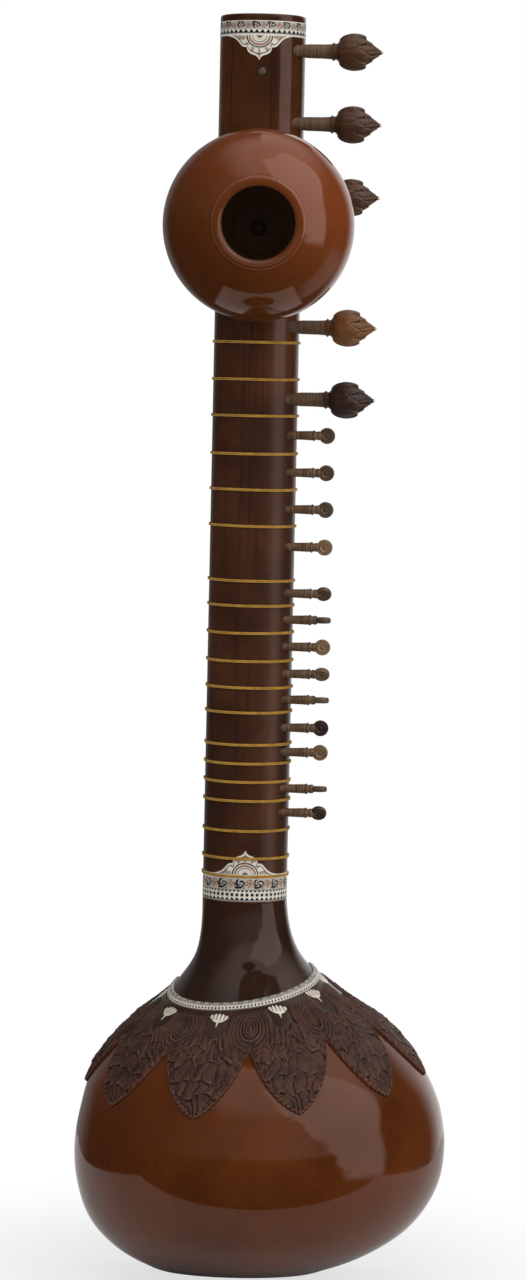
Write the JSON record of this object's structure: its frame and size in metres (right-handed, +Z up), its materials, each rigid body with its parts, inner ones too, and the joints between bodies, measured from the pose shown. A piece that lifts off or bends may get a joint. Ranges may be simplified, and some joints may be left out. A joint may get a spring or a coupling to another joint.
{
  "type": "sitar",
  "caption": "Long-necked plucked lute with a gourd body, carved leaf garland, sliding arched frets, sympathetic strings, lotus-headed pegs and a removable upper gourd.",
  "frame": {"origin": "middle of the flat under the gourd, straight below the middle of the neck's width", "axes": "+Z up the neck, +X toward the side pegs, +Y out of the fingerboard's face; the back faces -Y"},
  "size_m": [0.382, 0.337, 1.3],
  "materials": {
    "soundboard_wood": "clear gloss lacquer over pale straight-grained wood",
    "bowl_lacquer": "deep red-brown gloss lacquer over a gourd shell",
    "joint_lacquer": "near-black brown gloss lacquer",
    "neck_lacquer": "dark brown gloss lacquer",
    "upper_lacquer": "red-brown gloss lacquer over a gourd shell",
    "carved_wood": "dark stained and lightly lacquered carving",
    "bud_wood": "dark stained turned and carved wood, satin",
    "peg_wood": "oiled turned wood, satin",
    "bone": "polished bone white with engraved and filled lines",
    "fret_brass": "drawn rod, lightly tarnished",
    "steel": "plain",
    "string_steel": "drawn wire",
    "string_bronze": "drawn wire, warm tint"
  },
  "bodies": {
    "instrument": {"soundboard": "soundboard_wood", "gourd_bowl": "bowl_lacquer", "neck_joint": "joint_lacquer", "shoulder_ring": "bone", "leaf_garland": "carved_wood", "head_band": "bone", "neck": "neck_lacquer", "fingerboard": "neck_lacquer", "edge_binding": "bone", "gourd_bolt": "steel", "main_bridge": "bone", "taraf_bridge": "bone", "tailpiece": "bone", "nut_ridge": "bone", "string_guide": "bone", "main_strings": "string_steel", "taraf_strings": "string_bronze"},
    "main_peg_1": {"main_peg_1": "bud_wood"},
    "main_peg_2": {"main_peg_2": "bud_wood"},
    "main_peg_3": {"main_peg_3": "bud_wood"},
    "main_peg_4": {"main_peg_4": "bud_wood"},
    "main_peg_5": {"main_peg_5": "bud_wood"},
    "main_peg_6": {"main_peg_6": "bud_wood"},
    "main_peg_7": {"main_peg_7": "bud_wood"},
    "taraf_peg_01": {"taraf_peg_01": "peg_wood"},
    "taraf_peg_02": {"taraf_peg_02": "peg_wood"},
    "taraf_peg_03": {"taraf_peg_03": "peg_wood"},
    "taraf_peg_04": {"taraf_peg_04": "peg_wood"},
    "taraf_peg_05": {"taraf_peg_05": "peg_wood"},
    "taraf_peg_06": {"taraf_peg_06": "peg_wood"},
    "taraf_peg_07": {"taraf_peg_07": "peg_wood"},
    "taraf_peg_08": {"taraf_peg_08": "peg_wood"},
    "taraf_peg_09": {"taraf_peg_09": "peg_wood"},
    "taraf_peg_10": {"taraf_peg_10": "peg_wood"},
    "taraf_peg_11": {"taraf_peg_11": "peg_wood"},
    "taraf_peg_12": {"taraf_peg_12": "peg_wood"},
    "taraf_peg_13": {"taraf_peg_13": "peg_wood"},
    "fret_01": {"fret_01": "fret_brass"},
    "fret_02": {"fret_02": "fret_brass"},
    "fret_03": {"fret_03": "fret_brass"},
    "fret_04": {"fret_04": "fret_brass"},
    "fret_05": {"fret_05": "fret_brass"},
    "fret_06": {"fret_06": "fret_brass"},
    "fret_07": {"fret_07": "fret_brass"},
    "fret_08": {"fret_08": "fret_brass"},
    "fret_09": {"fret_09": "fret_brass"},
    "fret_10": {"fret_10": "fret_brass"},
    "fret_11": {"fret_11": "fret_brass"},
    "fret_12": {"fret_12": "fret_brass"},
    "fret_13": {"fret_13": "fret_brass"},
    "fret_14": {"fret_14": "fret_brass"},
    "fret_15": {"fret_15": "fret_brass"},
    "fret_16": {"fret_16": "fret_brass"},
    "fret_17": {"fret_17": "fret_brass"},
    "fret_18": {"fret_18": "fret_brass"},
    "fret_19": {"fret_19": "fret_brass"},
    "fret_20": {"fret_20": "fret_brass"},
    "upper_gourd": {"upper_gourd": "upper_lacquer"},
    "gourd_nut": {"gourd_nut": "steel"},
    "tuning_bead": {"tuning_bead": "bone"}
  },
  "joints": [
    {"name": "main_peg_1_turn", "type": "hinge", "parent": "instrument", "child": "main_peg_1", "pos_m": [0, 0.02698, 1.2639], "axis": [1, 0, 0], "continuous": true},
    {"name": "main_peg_2_turn", "type": "hinge", "parent": "instrument", "child": "main_peg_2", "pos_m": [0, 0.02698, 1.18995], "axis": [1, 0, 0], "continuous": true},
    {"name": "main_peg_3_turn", "type": "hinge", "parent": "instrument", "child": "main_peg_3", "pos_m": [0, 0.02698, 1.11576], "axis": [1, 0, 0], "continuous": true},
    {"name": "main_peg_4_turn", "type": "hinge", "parent": "instrument", "child": "main_peg_4", "pos_m": [0, 0.02698, 0.98197], "axis": [1, 0, 0], "continuous": true},
    {"name": "main_peg_5_turn", "type": "hinge", "parent": "instrument", "child": "main_peg_5", "pos_m": [0, 0.02698, 0.90791], "axis": [1, 0, 0], "continuous": true},
    {"name": "main_peg_6_turn", "type": "hinge", "parent": "instrument", "child": "main_peg_6", "pos_m": [0, 0.01698, 1.24163], "axis": [0, 1, 0], "continuous": true},
    {"name": "main_peg_7_turn", "type": "hinge", "parent": "instrument", "child": "main_peg_7", "pos_m": [0, 0.01698, 1.16499], "axis": [0, 1, 0], "continuous": true},
    {"name": "taraf_peg_01_turn", "type": "hinge", "parent": "instrument", "child": "taraf_peg_01", "pos_m": [0, 0.02698, 0.87074], "axis": [1, 0, 0], "continuous": true},
    {"name": "taraf_peg_02_turn", "type": "hinge", "parent": "instrument", "child": "taraf_peg_02", "pos_m": [0, 0.02698, 0.83225], "axis": [1, 0, 0], "continuous": true},
    {"name": "taraf_peg_03_turn", "type": "hinge", "parent": "instrument", "child": "taraf_peg_03", "pos_m": [0, 0.02698, 0.79427], "axis": [1, 0, 0], "continuous": true},
    {"name": "taraf_peg_04_turn", "type": "hinge", "parent": "instrument", "child": "taraf_peg_04", "pos_m": [0, 0.02698, 0.75538], "axis": [1, 0, 0], "continuous": true},
    {"name": "taraf_peg_05_turn", "type": "hinge", "parent": "instrument", "child": "taraf_peg_05", "pos_m": [0, 0.02698, 0.70717], "axis": [1, 0, 0], "continuous": true},
    {"name": "taraf_peg_06_turn", "type": "hinge", "parent": "instrument", "child": "taraf_peg_06", "pos_m": [0, 0.02698, 0.67987], "axis": [1, 0, 0], "continuous": true},
    {"name": "taraf_peg_07_turn", "type": "hinge", "parent": "instrument", "child": "taraf_peg_07", "pos_m": [0, 0.02698, 0.65175], "axis": [1, 0, 0], "continuous": true},
    {"name": "taraf_peg_08_turn", "type": "hinge", "parent": "instrument", "child": "taraf_peg_08", "pos_m": [0, 0.02698, 0.62365], "axis": [1, 0, 0], "continuous": true},
    {"name": "taraf_peg_09_turn", "type": "hinge", "parent": "instrument", "child": "taraf_peg_09", "pos_m": [0, 0.02698, 0.59669], "axis": [1, 0, 0], "continuous": true},
    {"name": "taraf_peg_10_turn", "type": "hinge", "parent": "instrument", "child": "taraf_peg_10", "pos_m": [0, 0.02698, 0.56758], "axis": [1, 0, 0], "continuous": true},
    {"name": "taraf_peg_11_turn", "type": "hinge", "parent": "instrument", "child": "taraf_peg_11", "pos_m": [0, 0.02698, 0.54203], "axis": [1, 0, 0], "continuous": true},
    {"name": "taraf_peg_12_turn", "type": "hinge", "parent": "instrument", "child": "taraf_peg_12", "pos_m": [0, 0.02698, 0.50404], "axis": [1, 0, 0], "continuous": true},
    {"name": "taraf_peg_13_turn", "type": "hinge", "parent": "instrument", "child": "taraf_peg_13", "pos_m": [0, 0.02698, 0.47891], "axis": [1, 0, 0], "continuous": true},
    {"name": "fret_01_slide", "type": "slide", "parent": "instrument", "child": "fret_01", "axis": [0, 0, 1], "range_m": [-0.008, 0.008]},
    {"name": "fret_02_slide", "type": "slide", "parent": "instrument", "child": "fret_02", "axis": [0, 0, 1], "range_m": [-0.007, 0.0075]},
    {"name": "fret_03_slide", "type": "slide", "parent": "instrument", "child": "fret_03", "axis": [0, 0, 1], "range_m": [-0.008, 0.008]},
    {"name": "fret_04_slide", "type": "slide", "parent": "instrument", "child": "fret_04", "axis": [0, 0, 1], "range_m": [-0.0055, 0.008]},
    {"name": "fret_05_slide", "type": "slide", "parent": "instrument", "child": "fret_05", "axis": [0, 0, 1], "range_m": [-0.008, 0.008]},
    {"name": "fret_06_slide", "type": "slide", "parent": "instrument", "child": "fret_06", "axis": [0, 0, 1], "range_m": [-0.008, 0.008]},
    {"name": "fret_07_slide", "type": "slide", "parent": "instrument", "child": "fret_07", "axis": [0, 0, 1], "range_m": [-0.008, 0.008]},
    {"name": "fret_08_slide", "type": "slide", "parent": "instrument", "child": "fret_08", "axis": [0, 0, 1], "range_m": [-0.006, 0.008]},
    {"name": "fret_09_slide", "type": "slide", "parent": "instrument", "child": "fret_09", "axis": [0, 0, 1], "range_m": [-0.0075, 0.0065]},
    {"name": "fret_10_slide", "type": "slide", "parent": "instrument", "child": "fret_10", "axis": [0, 0, 1], "range_m": [-0.007, 0.0075]},
    {"name": "fret_11_slide", "type": "slide", "parent": "instrument", "child": "fret_11", "axis": [0, 0, 1], "range_m": [-0.006, 0.008]},
    {"name": "fret_12_slide", "type": "slide", "parent": "instrument", "child": "fret_12", "axis": [0, 0, 1], "range_m": [-0.0055, 0.0075]},
    {"name": "fret_13_slide", "type": "slide", "parent": "instrument", "child": "fret_13", "axis": [0, 0, 1], "range_m": [-0.008, 0.0065]},
    {"name": "fret_14_slide", "type": "slide", "parent": "instrument", "child": "fret_14", "axis": [0, 0, 1], "range_m": [-0.001, 0.008]},
    {"name": "fret_15_slide", "type": "slide", "parent": "instrument", "child": "fret_15", "axis": [0, 0, 1], "range_m": [-0.0065, 0.005]},
    {"name": "fret_16_slide", "type": "slide", "parent": "instrument", "child": "fret_16", "axis": [0, 0, 1], "range_m": [0, 0.0065]},
    {"name": "fret_17_slide", "type": "slide", "parent": "instrument", "child": "fret_17", "axis": [0, 0, 1], "range_m": [-0.0055, 0.006]},
    {"name": "fret_18_slide", "type": "slide", "parent": "instrument", "child": "fret_18", "axis": [0, 0, 1], "range_m": [-0.008, 0.008]},
    {"name": "fret_19_slide", "type": "slide", "parent": "instrument", "child": "fret_19", "axis": [0, 0, 1], "range_m": [-0.006, 0.008]},
    {"name": "fret_20_slide", "type": "slide", "parent": "instrument", "child": "fret_20", "axis": [0, 0, 1], "range_m": [-0.008, 0.006]},
    {"name": "upper_gourd_draw", "type": "slide", "parent": "instrument", "child": "upper_gourd", "axis": [0, -1, 0], "range_m": [0, 0.06]},
    {"name": "gourd_nut_turn", "type": "hinge", "parent": "upper_gourd", "child": "gourd_nut", "pos_m": [0, -0.00932, 1.08201], "axis": [0, -1, 0], "continuous": true},
    {"name": "tuning_bead_slide", "type": "slide", "parent": "instrument", "child": "tuning_bead", "axis": [-0.1381, 0.1635, 0.9768], "range_m": [-0.012, 0.012]}
  ]
}
